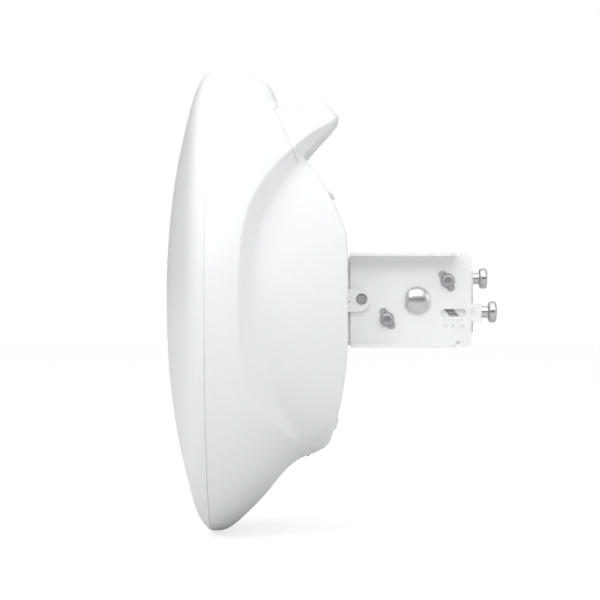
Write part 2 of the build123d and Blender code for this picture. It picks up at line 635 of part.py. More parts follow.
# ---- yoke between the dish bracket and the pole plate ----
YOKE_H = 27.0
SHELF_Z = 29.0
SHELF_Y = 26.0
TRUNNION_R = 7.0
JOURNAL_R = 3.5
FIT = 0.05
with BuildPart() as yoke:
    add(block((YOKE_FRONT, YOKE_FRONT + SHEET), (-YOKE_Y, YOKE_Y), (-YOKE_H, YOKE_H)))
    add(block((YOKE_FRONT, YOKE_FRONT + SHEET), (-SHELF_Y, SHELF_Y), (-SHELF_Z - SHEET, SHELF_Z + SHEET)))
    with BuildSketch(side(-YOKE_Y + SHEET)):
        with Locations(((YOKE_FRONT + YOKE_REAR) / 2, 0)):
            RectangleRounded(YOKE_REAR - YOKE_FRONT, 2 * YOKE_H, 5)
        with Locations((YOKE_FRONT + 5, 0)):
            Rectangle(10, 2 * YOKE_H)
        with Locations((PIVOT_X, 0)):
            Circle(6.0, mode=Mode.SUBTRACT)
        with Locations(*[(PIVOT_X + x, z) for x, z in LOCKS]):
            Circle(3.0, mode=Mode.SUBTRACT)
    extrude(amount=SHEET)
    mirror(about=Plane.XZ)
    with BuildSketch(Plane.XY.offset(SHELF_Z)):
        with Locations(((YOKE_FRONT - 13) / 2, 0)):
            Rectangle(-13 - YOKE_FRONT, 2 * SHELF_Y)
        with Locations((AZIMUTH_X, AZIMUTH_SCREW[0] / 2)):
            SlotCenterToCenter(AZIMUTH_SCREW[0], 18, rotation=90)
        with Locations((AZIMUTH_X, 0)):
            Circle(5.0, mode=Mode.SUBTRACT)
        with Locations((AZIMUTH_X, AZIMUTH_SCREW[0])):
            Circle(JOURNAL_R + FIT, mode=Mode.SUBTRACT)
    extrude(amount=SHEET)
    with BuildSketch(Plane.XY.offset(-SHELF_Z - SHEET)):
        with Locations(((YOKE_FRONT - 13) / 2, 0)):
            Rectangle(-13 - YOKE_FRONT, 2 * SHELF_Y)
        with Locations((PIVOT_X, -17)):
            Rectangle(14, 34)
        with Locations((AZIMUTH_X, 0)):
            Circle(5.0, mode=Mode.SUBTRACT)
    extrude(amount=SHEET)
    # inner arm and cheek pad that hold the elevation trunnion
    add(block((PIVOT_X - 7, PIVOT_X + 7), (-34, -31), (-SHELF_Z - SHEET, -3)))
    add(block((PIVOT_X - 7, PIVOT_X + 7), (-YOKE_Y + SHEET, -51.2), (-18, -6.4)))
    with Locations(Plane((PIVOT_X, -40, ELEVATION_SCREW[1]), z_dir=(0, 1, 0))):
        Cylinder(JOURNAL_R + FIT, 29, mode=Mode.SUBTRACT)
    # low shelf on the other cheek for the azimuth trunnion
    add(block((AZIMUTH_X - 9, AZIMUTH_X + 9), (31, YOKE_Y - SHEET), (6, 8.5)))
    with Locations((AZIMUTH_X, AZIMUTH_SCREW[0], 7)):
        Cylinder(JOURNAL_R + FIT, 6, mode=Mode.SUBTRACT)
    # pointer slot behind the scale window
    with BuildSketch(side(-YOKE_Y + SHEET)):
        with Locations((-20.3, -11.2)):
            SlotOverall(24, 6.4, rotation=-50)
    extrude(amount=SHEET + 1, mode=Mode.SUBTRACT)
yoke.part.label = "yoke"
export_step(yoke.part, "parts/yoke.step")

HEAD_R = 11.5
HEAD_FLATS = 20.2
with BuildPart() as pivot_pins:
    with BuildSketch(side(-YOKE_Y + SHEET)):
        with Locations((PIVOT_X, 0)):
            Circle(6.0)
    extrude(amount=5.5)
    with BuildSketch(side(-BRACKET_Y - 0.2)):
        with Locations((PIVOT_X, 0)):
            Circle(HEAD_R)
            Rectangle(HEAD_FLATS, 30, mode=Mode.INTERSECT)
    extrude(amount=6)
    fillet(pivot_pins.faces().sort_by(Axis.Y)[0].edges(), radius=1.8)
    mirror(about=Plane.XZ)
pivot_pins.part.label = "pivot_pins"
export_step(pivot_pins.part, "parts/pivot_pins.step")

with BuildPart() as lock_bolts:
    for x, z in LOCKS:
        add(across(-YOKE_Y + 8, 2.95, -13, PIVOT_X + x, z))
        add(across(-BRACKET_Y - 1.3, 5.65, -4.6, PIVOT_X + x, z))
        with BuildSketch(side(-BRACKET_Y - 3.4)):
            with Locations((PIVOT_X + x, z)):
                RegularPolygon(2.3, 6)
        extrude(amount=4, mode=Mode.SUBTRACT)
    mirror(about=Plane.XZ)
lock_bolts.part.label = "lock_bolts"
export_step(lock_bolts.part, "parts/lock_bolts.step")

with BuildPart() as lock_washers:
    with BuildSketch(side(-BRACKET_Y - 0.3)):
        with Locations(*[(PIVOT_X + x, z) for x, z in LOCKS]):
            Circle(6.2)
            Circle(3.1, mode=Mode.SUBTRACT)
    extrude(amount=1)
    mirror(about=Plane.XZ)
lock_washers.part.label = "lock_washers"
export_step(lock_washers.part, "parts/lock_washers.step")

with BuildPart() as lock_nuts:
    with BuildSketch(side(-YOKE_Y + SHEET + 5)):
        with Locations(*[(PIVOT_X + x, z) for x, z in LOCKS]):
            RegularPolygon(5.77, 6)
            Circle(2.98, mode=Mode.SUBTRACT)
    extrude(amount=5)
    mirror(about=Plane.XZ)
lock_nuts.part.label = "lock_nuts"
export_step(lock_nuts.part, "parts/lock_nuts.step")

EAR_TOP = 28.5
EAR = 2.5
with BuildPart() as azimuth_bolts:
    with Locations((AZIMUTH_X, 0, SHELF_Z + SHEET)):
        Cylinder(4.95, 12.5, align=(Align.CENTER, Align.CENTER, Align.MAX))
    with BuildSketch(Plane.XY.offset(SHELF_Z + SHEET)):
        with Locations((AZIMUTH_X, 0)):
            RegularPolygon(9.2, 6)
    extrude(amount=5)
    mirror(about=Plane.XY)
azimuth_bolts.part.label = "azimuth_bolts"
export_step(azimuth_bolts.part, "parts/azimuth_bolts.step")

with BuildPart() as azimuth_nuts:
    with BuildSketch(Plane.XY.offset(EAR_TOP - EAR - 0.3)):
        with Locations((AZIMUTH_X, 0)):
            RegularPolygon(9.2, 6)
            Circle(4.97, mode=Mode.SUBTRACT)
    extrude(amount=-6)
    mirror(about=Plane.XY)
azimuth_nuts.part.label = "azimuth_nuts"
export_step(azimuth_nuts.part, "parts/azimuth_nuts.step")

# ---- adjusting screws ----
SCREW_HEAD_R = 9.25
SCREW_HEAD = 7.0


def adjusting_screw(tip_x, head_x, collars, y, z):
    """Knob-headed screw along X, with two collars that hold it in its trunnion."""
    with BuildPart() as screw:
        with BuildSketch(Plane.YZ.offset(tip_x)):
            with Locations((y, z)):
                Circle(SCREW_R)
        extrude(amount=head_x - tip_x)
        for collar_x in collars:
            with BuildSketch(Plane.YZ.offset(collar_x)):
                with Locations((y, z)):
                    Circle(SCREW_R + 1.4)
            extrude(amount=2)
        with BuildSketch(Plane.YZ.offset(head_x)):
            with Locations((y, z)):
                Circle(SCREW_HEAD_R)
        extrude(amount=SCREW_HEAD)
        fillet(screw.edges().group_by(SortBy.LENGTH)[-1], radius=2.2)
        with Locations(Plane((head_x + SCREW_HEAD, y, z), z_dir=(1, 0, 0))):
            Cylinder(3.4, 8, mode=Mode.SUBTRACT)
    return screw.part


def trunnion(axis, bar, centre, journals):
    """Round barrel across the screw, with a journal at each end."""
    with BuildPart() as barrel:
        with BuildSketch(Plane(centre, z_dir=axis).offset(bar[0])):
            Circle(TRUNNION_R)
        extrude(amount=bar[1] - bar[0])
        with BuildSketch(Plane(centre, z_dir=axis).offset(journals[0])):
            Circle(JOURNAL_R)
        extrude(amount=journals[1] - journals[0])
        with Locations(Plane(centre, z_dir=(1, 0, 0))):
            Cylinder(SCREW_R + FIT, 30, mode=Mode.SUBTRACT)
    return barrel.part


with BuildPart() as elevation_screw:
    add(adjusting_screw(-62, 12.5, (PIVOT_X - 9.4, PIVOT_X + 7.4), *ELEVATION_SCREW))
elevation_screw.part.label = "elevation_screw"
export_step(elevation_screw.part, "parts/elevation_screw.step")

with BuildPart() as azimuth_screw:
    add(adjusting_screw(-36, 10.6, (AZIMUTH_X - 9.4, AZIMUTH_X + 7.4), *AZIMUTH_SCREW))
azimuth_screw.part.label = "azimuth_screw"
export_step(azimuth_screw.part, "parts/azimuth_screw.step")

with BuildPart() as elevation_trunnion:
    add(trunnion((0, 1, 0), (-8.8, 7.7), (PIVOT_X, *ELEVATION_SCREW), (-12.5, 10.9)))
elevation_trunnion.part.label = "elevation_trunnion"
export_step(elevation_trunnion.part, "parts/elevation_trunnion.step")

with BuildPart() as azimuth_trunnion:
    add(trunnion((0, 0, 1), (-11, 8.8), (AZIMUTH_X, *AZIMUTH_SCREW), (-13.7, 11.5)))
azimuth_trunnion.part.label = "azimuth_trunnion"
export_step(azimuth_trunnion.part, "parts/azimuth_trunnion.step")

# ---- pole side ----
PLATE = 3.0
PLATE_Y = 30.0
EAR_Y = 20.0
EAR_FRONT = -38.0
HOLES = [(y, z) for y in (-MOUNT_PITCH / 2, MOUNT_PITCH / 2) for z in (-MOUNT_PITCH / 2, MOUNT_PITCH / 2)]
with BuildPart() as pole_plate:
    with BuildSketch(Plane.YZ.offset(-PLATE)):
        RectangleRounded(2 * PLATE_Y, 2 * EAR_TOP, 3)
        with Locations((39, 19.75)):
            RectangleRounded(20, 17.5, 3)
        with Locations((30, 19.75)):
            Rectangle(10, 17.5)
        with Locations(*HOLES):
            Circle(MOUNT_HOLE_R, mode=Mode.SUBTRACT)
        with Locations((AZIMUTH_SCREW[0] - 0.3, AZIMUTH_SCREW[1])):
            SlotOverall(12.2, 10.8, mode=Mode.SUBTRACT)
    extrude(amount=PLATE)
    for z in (-EAR_TOP, EAR_TOP - EAR):
        with BuildSketch(Plane.XY.offset(z)):
            with Locations(((EAR_FRONT - PLATE) / 2 + 0.5, 0)):
                RectangleRounded(-PLATE - EAR_FRONT + 1, 2 * EAR_Y, 6)
            with Locations((-PLATE - 4, 0)):
                Rectangle(9, 2 * EAR_Y)
            with Locations((AZIMUTH_X, 0)):
                Circle(5.0, mode=Mode.SUBTRACT)
        extrude(amount=EAR)
pole_plate.part.label = "pole_plate"
export_step(pole_plate.part, "parts/pole_plate.step")
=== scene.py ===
import json
import math
import bpy
import bmesh
import numpy as np
from mathutils import Matrix, Vector


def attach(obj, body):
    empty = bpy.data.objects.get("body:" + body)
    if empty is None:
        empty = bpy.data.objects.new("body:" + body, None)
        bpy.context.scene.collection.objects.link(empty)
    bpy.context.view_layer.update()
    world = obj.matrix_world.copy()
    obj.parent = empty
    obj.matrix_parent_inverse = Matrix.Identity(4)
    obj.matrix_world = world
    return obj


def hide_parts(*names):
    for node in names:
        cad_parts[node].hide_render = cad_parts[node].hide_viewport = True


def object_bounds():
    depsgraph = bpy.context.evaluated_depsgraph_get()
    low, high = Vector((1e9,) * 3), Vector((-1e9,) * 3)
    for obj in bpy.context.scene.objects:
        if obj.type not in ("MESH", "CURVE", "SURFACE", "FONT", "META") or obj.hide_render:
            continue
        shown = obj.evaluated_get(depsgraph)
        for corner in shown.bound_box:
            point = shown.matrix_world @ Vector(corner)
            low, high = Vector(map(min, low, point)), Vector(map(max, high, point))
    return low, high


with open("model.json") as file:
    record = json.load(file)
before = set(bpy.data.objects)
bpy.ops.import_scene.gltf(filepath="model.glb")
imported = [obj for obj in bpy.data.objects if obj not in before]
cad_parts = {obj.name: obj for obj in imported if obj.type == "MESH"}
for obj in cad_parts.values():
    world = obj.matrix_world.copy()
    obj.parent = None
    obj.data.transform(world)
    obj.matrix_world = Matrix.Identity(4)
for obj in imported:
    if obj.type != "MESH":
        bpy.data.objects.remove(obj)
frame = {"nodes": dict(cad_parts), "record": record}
cad_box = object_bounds()
MM = 0.001

# ---- dimensions shared with the CAD part, in millimetres ----
SEAM_X, SEAM_R, REAR_X = -231.8, 206.0, -112.5
WALL, DOOR_WALL, FLANGE_WALL, SEAM_GAP = 3.0, 2.6, 1.6, 0.4
# stations of the body: x, half width, depth below the axis, height with the lip, height without it
HALF_WIDTH, DEPTH, LIP_HEIGHT, PLAIN_HEIGHT = 1, 2, 3, 4
SECTIONS = np.array((
    (-231.8, 206.0, 206.0, 206.0, 206.0), (-218.0, 205.0, 204.0, 206.6, 206.6),
    (-204.0, 200.0, 193.5, 203.6, 203.6), (-190.0, 192.0, 179.8, 197.7, 190.0),
    (-178.0, 183.0, 166.0, 187.0, 168.0), (-172.5, 178.5, 159.0, 174.5, 164.2),
    (-167.0, 174.0, 152.8, 165.5, 163.6), (-156.0, 165.0, 143.6, 171.5, 171.5),
    (-143.0, 154.0, 138.7, 179.4, 179.4), (-129.0, 142.0, 134.5, 177.2, 177.2),
    (-105.0, 121.0, 126.0, 162.0, 162.0),
))
# height of the body at its sides, where the lip and the hood run flush
FLANK = np.array((
    (-231.8, 206.0), (-218.0, 206.4), (-204.0, 203.2), (-190.0, 196.0), (-178.0, 186.0),
    (-167.0, 177.5), (-156.0, 174.8), (-143.0, 178.0), (-129.0, 176.5), (-105.0, 162.0),
))
LIP_FLUSH = (25.0, 66.0)    # distances from the middle between which the lip fades into the flank
# the core between the recesses of the two sides: x, half width
CORE = np.array(((-215.0, 180.0), (-179.0, 163.0), (-147.0, 139.0), (-105.0, 103.0)))
CORE_HEIGHT = 150.0
# edge of the side's recess in the side view, above and below the axis: x, z
CREASE_TOP = ((-98.0, 167.0), (-120.4, 157.0), (-144.2, 144.2), (-160.2, 129.7),
              (-182.2, 101.6), (-194.4, 78.7), (-200.7, 53.7))
CREASE_FOOT = ((-200.7, -53.2), (-195.5, -77.3), (-183.3, -95.9),
               (-163.0, -113.8), (-140.0, -133.0), (-112.0, -156.0))
# slope of the recess's wall, and how it changes from FOOT_FROM down to the foot
POCKET_DRAFT, FOOT_DRAFT = math.radians(20), math.radians(31)
FOOT_FROM, FOOT_SPAN, FOOT_BLEND = -20.0, 45.0, 6.5
REAR_ROUND, FLOOR_BLEND, CREASE_ROUND, LIP_BLEND = 7.0, 9.5, 1.8, 0.5
HOOD_SEAM = ((-171.2, 172.9), (-176.0, 166.7), (-154.8, 116.2), (-146.0, 125.0))
HOOD_GAP = 0.5              # between the shell's edge and the hood's
FLANGE_SPAN = (-26, 3)      # how far the hood's inner flange reaches in front of and behind its seam
FLANGE_SINK = 3.1           # depth of that flange below the hood's skin
COVER_FRONT, COVER_Y, COVER_Z = -160.0, 80.0, (-61.8, 98.0)
DOOR_Y, DOOR_FRONT = 45.0, -141.0
DOOR_HOLE_TOP, DOOR_EDGE_TOP = -62.8, -63.2
GROMMET_X, GROMMET_Y, GROMMET_TOP = (-157.0, -145.0), 22.0, -120.0
RADOME = np.array(((-272.2, 0), (-269.2, 70), (-260.8, 129), (-250.2, 173.5), (-241.2, 196.8),
                   (-231.8, 206)))
RADOME_WALL = 2.6
RIM_RISE = 0.45             # rise of the radome's outline over its run along x, at the seam
GROOVE_WIDTH, GROOVE_DEPTH = 0.5, 0.8   # half of the groove along the radome's seam
FAR = 1000

# ---- sampling, in millimetres ----
GRID = 1.8
NET_X, NET_Y, NET_Z = (-237.5, -105), (-210, 210.1), (-212, 212.1)
TABLE_STEP = 1.0
TABLE_X, TABLE_Z = np.arange(-245, -85, TABLE_STEP), np.arange(-240, 241, TABLE_STEP)


# ---- curves and fields ----
def cubic(xs, ys, at, ends=(None, None)):
    """Cubic spline through the points, with given end slopes or none, at the values asked for."""
    xs, ys = np.asarray(xs, float), np.asarray(ys, float)
    n, h, rise = len(xs), np.diff(xs), np.diff(ys) / np.diff(xs)
    rows, right = np.zeros((n, n)), np.zeros(n)
    for i in range(1, n - 1):
        rows[i, i - 1:i + 2] = h[i], 2 * (h[i - 1] + h[i]), h[i - 1]
        right[i] = 3 * (h[i] * rise[i - 1] + h[i - 1] * rise[i])
    for i, step, end in ((0, 1, ends[0]), (n - 1, -1, ends[1])):
        if end is None:
            rows[i, i], rows[i, i + step], right[i] = 2, 1, 3 * rise[0 if i == 0 else -1]
        else:
            rows[i, i], right[i] = 1, end
    slope = np.linalg.solve(rows, right)
    at = np.clip(at, xs[0], xs[-1])
    i = np.clip(np.searchsorted(xs, at) - 1, 0, n - 2)
    t = (at - xs[i]) / h[i]
    return ((2 * t**3 - 3 * t**2 + 1) * ys[i] + (t**3 - 2 * t**2 + t) * h[i] * slope[i]
            + (3 * t**2 - 2 * t**3) * ys[i + 1] + (t**3 - t**2) * h[i] * slope[i + 1])


def curve_through(points, count):
    """Evenly sampled smooth curve through 2-D points."""
    points = np.asarray(points, float)
    along = np.concatenate(([0], np.cumsum(np.hypot(*np.diff(points, axis=0).T))))
    at = np.linspace(0, along[-1], count)
    return np.stack([cubic(along, points[:, i], at) for i in (0, 1)], axis=1)


def arc_through(a, b, c, count=14):
    """Points on the circle through a, b and c, from a to c."""
    (ax, ay), (bx, by), (cx, cy) = a, b, c
    d = 2 * (ax * (by - cy) + bx * (cy - ay) + cx * (ay - by))
    a2, b2, c2 = ax**2 + ay**2, bx**2 + by**2, cx**2 + cy**2
    ux = (a2 * (by - cy) + b2 * (cy - ay) + c2 * (ay - by)) / d
    uy = (a2 * (cx - bx) + b2 * (ax - cx) + c2 * (bx - ax)) / d
    r = math.hypot(ax - ux, ay - uy)
    start, middle, end = (math.atan2(y - uy, x - ux) for x, y in (a, b, c))
    turn = (end - start + math.pi) % (2 * math.pi) - math.pi
    if (middle - start) * turn < 0 and abs(middle - start) < math.pi:
        turn -= math.copysign(2 * math.pi, turn)
    return [(ux + r * math.cos(start + turn * t), uy + r * math.sin(start + turn * t))
            for t in np.linspace(0, 1, count)]


def outline_distance(outline, x, z, carried=None):
    """Distance to a closed outline, negative inside it, and a value carried by its nearest point."""
    outline = np.asarray(outline, float)
    best, value = np.full(x.shape, 1e9), np.zeros(x.shape)
    inside = np.zeros(x.shape, bool)
    for i in range(len(outline)):
        (ax, az), (bx, bz) = outline[i], outline[(i + 1) % len(outline)]
        dx, dz = bx - ax, bz - az
        if dx * dx + dz * dz < 1e-9:
            continue
        t = np.clip(((x - ax) * dx + (z - az) * dz) / (dx * dx + dz * dz), 0, 1)
        gap = np.hypot(x - ax - t * dx, z - az - t * dz)
        nearer = gap < best
        best[nearer] = gap[nearer]
        if carried is not None:
            here = carried[i] + t * (carried[(i + 1) % len(outline)] - carried[i])
            value[nearer] = here[nearer]
        if dz:
            inside ^= ((az > z) != (bz > z)) & (x < ax + (z - az) / dz * dx)
    return np.where(inside, -best, best), value


def soften(table, cells):
    """Blur a table a little, which rounds the corners of the shape that it holds."""
    kernel = np.exp(-0.5 * (np.arange(-3 * cells, 3 * cells + 1) / cells) ** 2)
    kernel /= kernel.sum()
    for axis in (0, 1):
        pad = [(0, 0), (0, 0)]
        pad[axis] = (3 * cells, 3 * cells)
        wide = np.pad(table, pad, mode="edge")
        table = np.apply_along_axis(lambda row: np.convolve(row, kernel, "valid"), axis, wide)
    return table


def smooth_min(a, b, k):
    """Smaller of two fields, rounded over a width k where they cross."""
    h = np.maximum(k - np.abs(a - b), 0) / k
    return np.minimum(a, b) - h * h * k / 4


def smooth_max(a, b, k):
    return -smooth_min(-a, -b, k)


table_x, table_z = np.meshgrid(TABLE_X, TABLE_Z, indexing="ij")

# side view of the hood, the rear face and the chin, where the body is trimmed
rear_outline = (
    [(-300, 300), (-140, 230), (-128.9, 177.5), (-118.6, 162.7), (-118.4, 160)]
    + arc_through((-151, 125.2), (-125.6, 86), (-113.4, 56))
    + [(REAR_X, 40), (REAR_X, -42)]
    + arc_through((REAR_X, -42), (-116.2, -77), (-125.2, -118.8))[1:]
    + arc_through((-125.2, -118.8), (-128, -128), (-134.9, -135.5), 8)[1:]
    + [(-150, -145), (-150, -300), (-300, -300)]
)
rear_table = soften(outline_distance(rear_outline, table_x, table_z)[0], 2)


def skin_y(x, z):
    """Half width of the plain body at x and z, before its sides are recessed."""
    half, low = (np.interp(x, SECTIONS[:, 0], SECTIONS[:, i]) for i in (HALF_WIDTH, DEPTH))
    high = np.interp(x, *FLANK.T)
    return half * np.sqrt(np.maximum(1 - (z / np.where(z > 0, high, low)) ** 2, 0.16))


crease = np.concatenate((curve_through(CREASE_TOP, 44), curve_through(CREASE_FOOT, 44),
                         [(-60, CREASE_FOOT[-1][1]), (-60, CREASE_TOP[0][1])]))
crease_table, skin_table = outline_distance(crease, table_x, table_z, skin_y(*crease.T))
crease_table = soften(-crease_table, 1)
skin_table = soften(skin_table, 4)


def look_up(table, x, z):
    """Read a table between its grid points."""
    i = np.clip((x - TABLE_X[0]) / TABLE_STEP, 0, len(TABLE_X) - 1.001)
    k = np.clip((z - TABLE_Z[0]) / TABLE_STEP, 0, len(TABLE_Z) - 1.001)
    i0, k0 = i.astype(int), k.astype(int)
    u, v = i - i0, k - k0
    return ((1 - u) * (1 - v) * table[i0, k0] + u * (1 - v) * table[i0 + 1, k0]
            + (1 - u) * v * table[i0, k0 + 1] + u * v * table[i0 + 1, k0 + 1])


def loft_distance(x, y, z, half, low, high):
    """Rough distance to upright half ellipses whose sizes are functions of x."""
    step = 0.5
    w, dw = half(x), (half(x + step) - half(x - step)) / (2 * step)
    h = np.where(z > 0, high(x), low(x))
    dh = np.where(z > 0, high(x + step) - high(x - step), low(x + step) - low(x - step)) / (2 * step)
    k = np.maximum(np.sqrt((y / w) ** 2 + (z / h) ** 2), 0.05)
    along = y**2 * dw / w**3 + z**2 * dh / h**3
    slope = np.sqrt((y / w**2) ** 2 + (z / h**2) ** 2 + along ** 2) / k
    return (k - 1) / np.maximum(slope, 1e-4)


def size_of(column):
    """One column of the stations as a smooth function of x."""
    return lambda x: cubic(SECTIONS[:, 0], SECTIONS[:, column], x)


def height_of(column, y):
    """Height of the body as a function of x: the column's in the middle, the flank's at the sides."""
    side = np.clip((np.abs(y) - LIP_FLUSH[0]) / (LIP_FLUSH[1] - LIP_FLUSH[0]), 0, 1)
    side = side * side * (3 - 2 * side)
    middle = size_of(column)
    return lambda x: (1 - side) * middle(x) + side * cubic(*FLANK.T, x)


def hood_skin(x, y, z, lip=False):
    """Signed distance to the moulded body: shell trimmed at the rear, recessed sides, core."""
    skin = loft_distance(x, y, z, size_of(HALF_WIDTH), size_of(DEPTH), height_of(PLAIN_HEIGHT, y))
    if lip:
        raised = loft_distance(x, y, z, size_of(HALF_WIDTH), size_of(DEPTH), height_of(LIP_HEIGHT, y))
        skin = smooth_min(skin, raised, LIP_BLEND)
    flat_x, flat_z = np.broadcast_arrays(x, z)
    trimmed = smooth_max(skin, look_up(rear_table, flat_x, flat_z), REAR_ROUND)
    core = loft_distance(x, y, z, lambda v: cubic(*CORE.T, v),
                         lambda v: CORE_HEIGHT + 0 * v, lambda v: CORE_HEIGHT + 0 * v)
    foot = np.clip((FOOT_FROM - z) / FOOT_SPAN, 0, 1)
    draft = POCKET_DRAFT + foot * (FOOT_DRAFT - POCKET_DRAFT)
    wall = (look_up(crease_table, flat_x, flat_z) * np.cos(draft)
            - (look_up(skin_table, flat_x, flat_z) - np.abs(y)) * np.sin(draft))
    return smooth_max(trimmed, smooth_min(wall, core, FLOOR_BLEND - foot * FOOT_BLEND), CREASE_ROUND)


def shell_skin(x, y, z):
    """The same body with the raised lip in front of the hood."""
    return hood_skin(x, y, z, lip=True)


def surface_net(field):
    """Quads on the zero level of a field, with vertices moved onto it: (points, quads)."""
    axes = [np.arange(*limits, GRID) for limits in (NET_X, NET_Y, NET_Z)]
    x, y, z = axes[0][:, None, None], axes[1][None, :, None], axes[2][None, None, :]
    values = field(x, y, z) + 1e-9      # so that no grid point lies on the surface itself
    solid = values < 0
    corners = [(i, j, k) for i in (0, 1) for j in (0, 1) for k in (0, 1)]
    shape = tuple(s - 1 for s in values.shape)
    count = np.zeros(shape, int)
    for i, j, k in corners:
        count += solid[i:i + shape[0], j:j + shape[1], k:k + shape[2]]
    cells = np.argwhere((count > 0) & (count < 8))
    number = np.full(shape, -1)
    number[tuple(cells.T)] = np.arange(len(cells))
    at = {c: values[tuple((cells + c).T)] for c in corners}
    total, hits = np.zeros((len(cells), 3)), np.zeros(len(cells))
    for a in corners:
        for axis in range(3):
            if a[axis]:
                continue
            b = tuple(v + (n == axis) for n, v in enumerate(a))
            crossed = (at[a] < 0) != (at[b] < 0)
            t = at[a][crossed] / (at[a][crossed] - at[b][crossed])
            point = np.tile(np.array(a, float), (crossed.sum(), 1))
            point[:, axis] += t
            total[crossed] += point
            hits[crossed] += 1
    origin = np.array([axes[0][0], axes[1][0], axes[2][0]])
    points = origin + GRID * (cells + total / hits[:, None])
    quads = []
    for axis in range(3):
        low = [slice(None)] * 3
        high = [slice(None)] * 3
        low[axis], high[axis] = slice(0, -1), slice(1, None)
        crossed = np.argwhere(solid[tuple(low)] != solid[tuple(high)])
        u, v = [n for n in range(3) if n != axis]
        keep = (crossed[:, u] > 0) & (crossed[:, v] > 0)
        keep &= (crossed[:, u] < shape[u]) & (crossed[:, v] < shape[v])
        crossed = crossed[keep]
        ring = []
        for du, dv in ((-1, -1), (0, -1), (0, 0), (-1, 0)):
            cell = crossed.copy()
            cell[:, u] += du
            cell[:, v] += dv
            ring.append(number[tuple(cell.T)])
        ring = np.stack(ring, axis=1)
        outward = solid[tuple(crossed.T)]
        if axis == 1:
            outward = ~outward
        ring[~outward] = ring[~outward][:, ::-1]
        quads.append(ring)
    quads = np.concatenate(quads)
    for _ in range(3):
        slope, value = gradient(field, points)
        points -= slope * np.clip(value, -GRID, GRID)[:, None]
    return points, quads


def gradient(field, points, step=0.4):
    """Unit gradient of a field at points, and its value over the gradient's length."""
    parts = []
    for axis in range(3):
        offset = np.zeros(3)
        offset[axis] = step
        parts.append((field(*(points + offset).T) - field(*(points - offset).T)) / (2 * step))
    slope = np.stack(parts, axis=1)
    length = np.maximum(np.linalg.norm(slope, axis=1), 1e-6)
    return slope / length[:, None], field(*points.T) / length


# ---- meshes ----
def link(name, data, slot, body, *nodes, finish=None):
    """Put a finished piece in the scene, on the body it rides on and for the nodes it stands for."""
    piece = bpy.data.objects.new(name, data)
    bpy.context.scene.collection.objects.link(piece)
    data.materials.append(materials[finish or slot])
    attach(piece, body)
    if nodes:
        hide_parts(*nodes)


def smooth_by_angle(data, degrees):
    """Smooth shading with sharp edges where faces meet at more than this angle."""
    for polygon in data.polygons:
        polygon.use_smooth = True
    work = bmesh.new()
    work.from_mesh(data)
    for edge in work.edges:
        edge.smooth = not (len(edge.link_faces) != 2 or edge.calc_face_angle(0) > math.radians(degrees))
    work.to_mesh(data)
    work.free()


CUT_MARGIN, SEAM_MARGIN = 4, 3


def cut(work, point, normal, box):
    """Split the faces that a plane crosses, only where their centres lie in or near the box."""
    faces = [f for f in work.faces if all(
        lo - CUT_MARGIN < v < hi + CUT_MARGIN for v, (lo, hi) in zip(f.calc_center_median(), box))]
    edges = {e for f in faces for e in f.edges}
    verts = {v for f in faces for v in f.verts}
    bmesh.ops.bisect_plane(work, geom=list(verts) + list(edges) + faces, dist=0.02,
                           plane_co=point, plane_no=normal)


def cut_box(work, x, y, z):
    """Split the skin along the sides of a box, but for the sides that are far away."""
    for axis, limits in enumerate((x, y, z)):
        for value in limits:
            if abs(value) < FAR:
                point, normal = [0, 0, 0], [0, 0, 0]
                point[axis], normal[axis] = value, 1
                cut(work, point, normal, (x, y, z))


def inside_box(point, x, y, z):
    return all(lo < v < hi for v, (lo, hi) in zip(point, (x, y, z)))


def seam_lines(grow):
    """The hood's seam, moved back by grow, as points in XZ that run on past both ends."""
    line = [(HOOD_SEAM[0][0] + 14, HOOD_SEAM[0][1] + 60), *HOOD_SEAM, (-90, HOOD_SEAM[-1][1])]
    moved = []
    for i, (x, z) in enumerate(line):
        (ax, az), (bx, bz) = line[max(i - 1, 0)], line[min(i + 1, len(line) - 1)]
        length = math.hypot(bx - ax, bz - az)
        moved.append((x - (bz - az) / length * grow, z + (bx - ax) / length * grow))
    return moved


def cut_seam(work, line):
    """Split the skin along a line in XZ."""
    for (ax, az), (bx, bz) in zip(line, line[1:]):
        box = ((min(ax, bx) - SEAM_MARGIN, max(ax, bx) + SEAM_MARGIN), (-FAR, FAR),
               (min(az, bz) - SEAM_MARGIN, max(az, bz) + SEAM_MARGIN))
        cut(work, (ax, 0, az), (bz - az, 0, ax - bx), box)


def behind_seam(point, line):
    """True if a point is on the hood's side of the seam."""
    x, _, z = point
    outline = [*line, (line[-1][0], FAR), (line[0][0], FAR)]
    behind = False
    for (ax, az), (bx, bz) in zip(outline, outline[1:] + outline[:1]):
        if (az > z) != (bz > z) and x < ax + (z - az) / (bz - az) * (bx - ax):
            behind = not behind
    return behind


